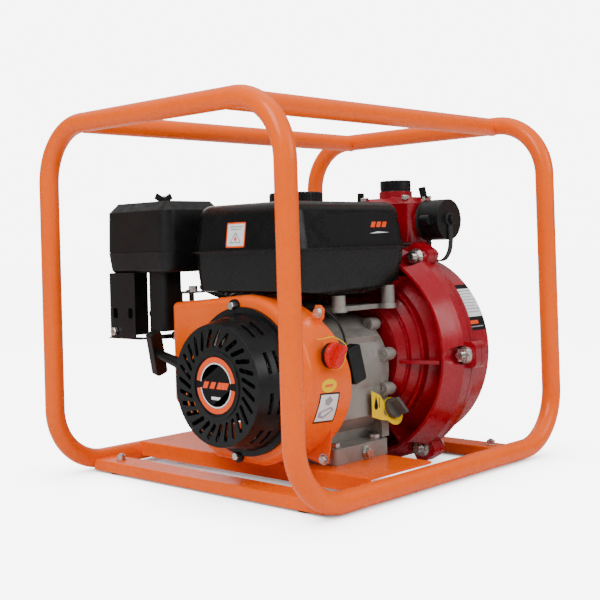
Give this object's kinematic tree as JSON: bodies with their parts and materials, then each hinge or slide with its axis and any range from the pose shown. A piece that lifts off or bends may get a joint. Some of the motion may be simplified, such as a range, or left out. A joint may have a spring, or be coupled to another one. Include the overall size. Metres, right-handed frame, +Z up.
{
  "type": "portable fire pump",
  "caption": "Petrol engine driving a high-pressure fire pump, carried in a rectangular tube frame with rubber feet, a fuel tank and screw-capped outlets.",
  "frame": {"origin": "middle of the tube frame on the ground plane, at the bottom of the rubber feet", "axes": "+X along the crankshaft from the recoil starter to the pump, +Y towards the cylinder head side, +Z up"},
  "size_m": [0.547, 0.4606, 0.474],
  "materials": {
    "orange_paint": "gloss orange enamel",
    "red_paint": "gloss red enamel over a casting",
    "cast_aluminium": "as-cast, slightly oily",
    "machined_steel": "machined",
    "zinc_fasteners": "zinc plated",
    "bright_plate": "bright plated",
    "black_steel": "glossy black paint",
    "cast_iron_part": "as-cast",
    "dark_plastic": "grained dark plastic",
    "gloss_dark_plastic": "glossy black",
    "red_plastic": "glossy red",
    "black_rubber": "matte rubber",
    "brass_part": "turned",
    "filter_felt": "pleated felt",
    "gasket_fibre": "pressed fibre",
    "rope_cord": "braided rope"
  },
  "bodies": {
    "pump_unit": {"air_cleaner_base": "dark_plastic", "air_filter": "filter_felt", "alarm_wire": "black_rubber", "base_rail_left": "orange_paint", "base_rail_right": "orange_paint", "carburetor": "cast_aluminium", "carburetor_guard": "dark_plastic", "crankcase": "cast_aluminium", "crankcase_cover": "cast_aluminium", "cylinder_head": "cast_aluminium", "discharge_manifold": "red_paint", "electrical_boxes": "gloss_dark_plastic", "engine_bed": "orange_paint", "engine_fasteners": "zinc_fasteners", "fan_shroud": "orange_paint", "frame_bolts": "zinc_fasteners", "frame_channels": "orange_paint", "fuel_tank": "black_steel", "hoop_front": "orange_paint", "hoop_rear": "orange_paint", "ignition_lead": "black_rubber", "ignition_parts": "black_rubber", "intake_pipes": "dark_plastic", "muffler": "machined_steel", "muffler_shield": "black_steel", "pump_adapter": "red_paint", "pump_bolts": "zinc_fasteners", "pump_casing": "red_paint", "pump_gaskets": "gasket_fibre", "pump_seals": "black_rubber", "recoil_housing": "dark_plastic", "recoil_spring": "machined_steel", "roof_rails": "orange_paint", "rubber_feet": "black_rubber", "spark_plug": "bright_plate", "valve_cover": "black_steel"},
    "crank": {"crankshaft": "machined_steel", "flywheel": "cast_iron_part", "starter_cup": "zinc_fasteners", "impeller": "brass_part"},
    "piston_group": {"piston": "cast_aluminium"},
    "rod": {"connecting_rod": "cast_aluminium"},
    "starter_pull": {"starter_handle": "dark_plastic", "starter_rope": "rope_cord"},
    "reel": {"recoil_reel": "dark_plastic"},
    "switch": {"switch_knob": "red_plastic"},
    "tank_cap": {"fuel_cap": "dark_plastic"},
    "priming_carrier": {"priming_cap_seal": "black_rubber"},
    "priming_top": {"priming_cap": "dark_plastic"},
    "near_carrier": {"discharge_seal_near": "black_rubber", "cap_strap": "black_rubber"},
    "near_cap": {"discharge_cap_near": "dark_plastic"},
    "far_carrier": {"discharge_seal_far": "black_rubber"},
    "far_cap": {"discharge_cap_far": "dark_plastic"},
    "oil_cap": {"oil_filler_cap": "dark_plastic"},
    "filter_lid": {"air_cleaner_lid": "dark_plastic"},
    "filter_nut": {"wing_nut": "zinc_fasteners"},
    "choke": {"choke_lever": "dark_plastic"},
    "throttle": {"throttle_lever": "zinc_fasteners"},
    "fuel_tap": {"fuel_valve_lever": "dark_plastic"}
  },
  "joints": [
    {"name": "crank_turn", "type": "hinge", "parent": "pump_unit", "child": "crank", "pos_m": [-0.04, -0.062, 0.136], "axis": [1, 0, 0], "continuous": true},
    {"name": "piston_stroke", "type": "slide", "parent": "pump_unit", "child": "piston_group", "axis": [0, 0.9063, 0.4226], "range_m": [-0.054, 0]},
    {"name": "rod_swing", "type": "hinge", "parent": "piston_group", "child": "rod", "pos_m": [-0.05, 0.0386, 0.18291], "axis": [1, 0, 0], "range_deg": [-18, 18]},
    {"name": "starter_pull_out", "type": "slide", "parent": "pump_unit", "child": "starter_pull", "axis": [0, 0.9703, 0.2419], "range_m": [0, 0.03]},
    {"name": "reel_turn", "type": "hinge", "parent": "pump_unit", "child": "reel", "pos_m": [-0.212, -0.062, 0.136], "axis": [1, 0, 0], "range_deg": [0, 48]},
    {"name": "switch_turn", "type": "hinge", "parent": "pump_unit", "child": "switch", "pos_m": [-0.141, -0.176, 0.168], "axis": [0, -1, 0], "range_deg": [0, 60]},
    {"name": "fuel_cap_turn", "type": "hinge", "parent": "pump_unit", "child": "tank_cap", "pos_m": [-0.064, -0.045, 0.358], "axis": [0, 0, 1], "range_deg": [0, 90]},
    {"name": "priming_cap_rise", "type": "slide", "parent": "pump_unit", "child": "priming_carrier", "axis": [0, 0, 1], "range_m": [0, 0.009]},
    {"name": "priming_cap_turn", "type": "hinge", "parent": "priming_carrier", "child": "priming_top", "pos_m": [0.122, -0.062, 0.372], "axis": [0, 0, 1], "range_deg": [0, 1080]},
    {"name": "near_cap_rise", "type": "slide", "parent": "pump_unit", "child": "near_carrier", "axis": [0, -1, 0], "range_m": [0, 0.009]},
    {"name": "near_cap_turn", "type": "hinge", "parent": "near_carrier", "child": "near_cap", "pos_m": [0.122, -0.15, 0.326], "axis": [0, -1, 0], "range_deg": [0, 1080]},
    {"name": "far_cap_rise", "type": "slide", "parent": "pump_unit", "child": "far_carrier", "axis": [0, 1, 0], "range_m": [0, 0.009]},
    {"name": "far_cap_turn", "type": "hinge", "parent": "far_carrier", "child": "far_cap", "pos_m": [0.122, 0.026, 0.326], "axis": [0, 1, 0], "range_deg": [0, 1080]},
    {"name": "oil_cap_turn", "type": "hinge", "parent": "pump_unit", "child": "oil_cap", "pos_m": [0.006, -0.133, 0.084], "axis": [0, -0.9397, 0.342], "range_deg": [0, 180]},
    {"name": "filter_lid_lift", "type": "slide", "parent": "pump_unit", "child": "filter_lid", "axis": [0, 0, 1], "range_m": [0, 0.06]},
    {"name": "filter_nut_turn", "type": "hinge", "parent": "filter_lid", "child": "filter_nut", "pos_m": [-0.1475, 0.1195, 0.365], "axis": [0, 0, 1], "continuous": true},
    {"name": "choke_turn", "type": "hinge", "parent": "pump_unit", "child": "choke", "pos_m": [-0.145, 0.113, 0.213], "axis": [0, 1, 0], "range_deg": [-20, 20]},
    {"name": "throttle_turn", "type": "hinge", "parent": "pump_unit", "child": "throttle", "pos_m": [-0.134, 0.084, 0.24], "axis": [0, 0, 1], "range_deg": [0, 20]},
    {"name": "fuel_tap_turn", "type": "hinge", "parent": "pump_unit", "child": "fuel_tap", "pos_m": [-0.128, 0.125, 0.18], "axis": [0, 1, 0], "range_deg": [0, 90]}
  ],
  "couplings": [
    {"joint": "reel_turn", "follows": "starter_pull_out", "rad_per_m": 27.778},
    {"joint": "priming_cap_rise", "follows": "priming_cap_turn", "m_per_rad": 0.00047746},
    {"joint": "near_cap_rise", "follows": "near_cap_turn", "m_per_rad": 0.00047746},
    {"joint": "far_cap_rise", "follows": "far_cap_turn", "m_per_rad": 0.00047746}
  ]
}
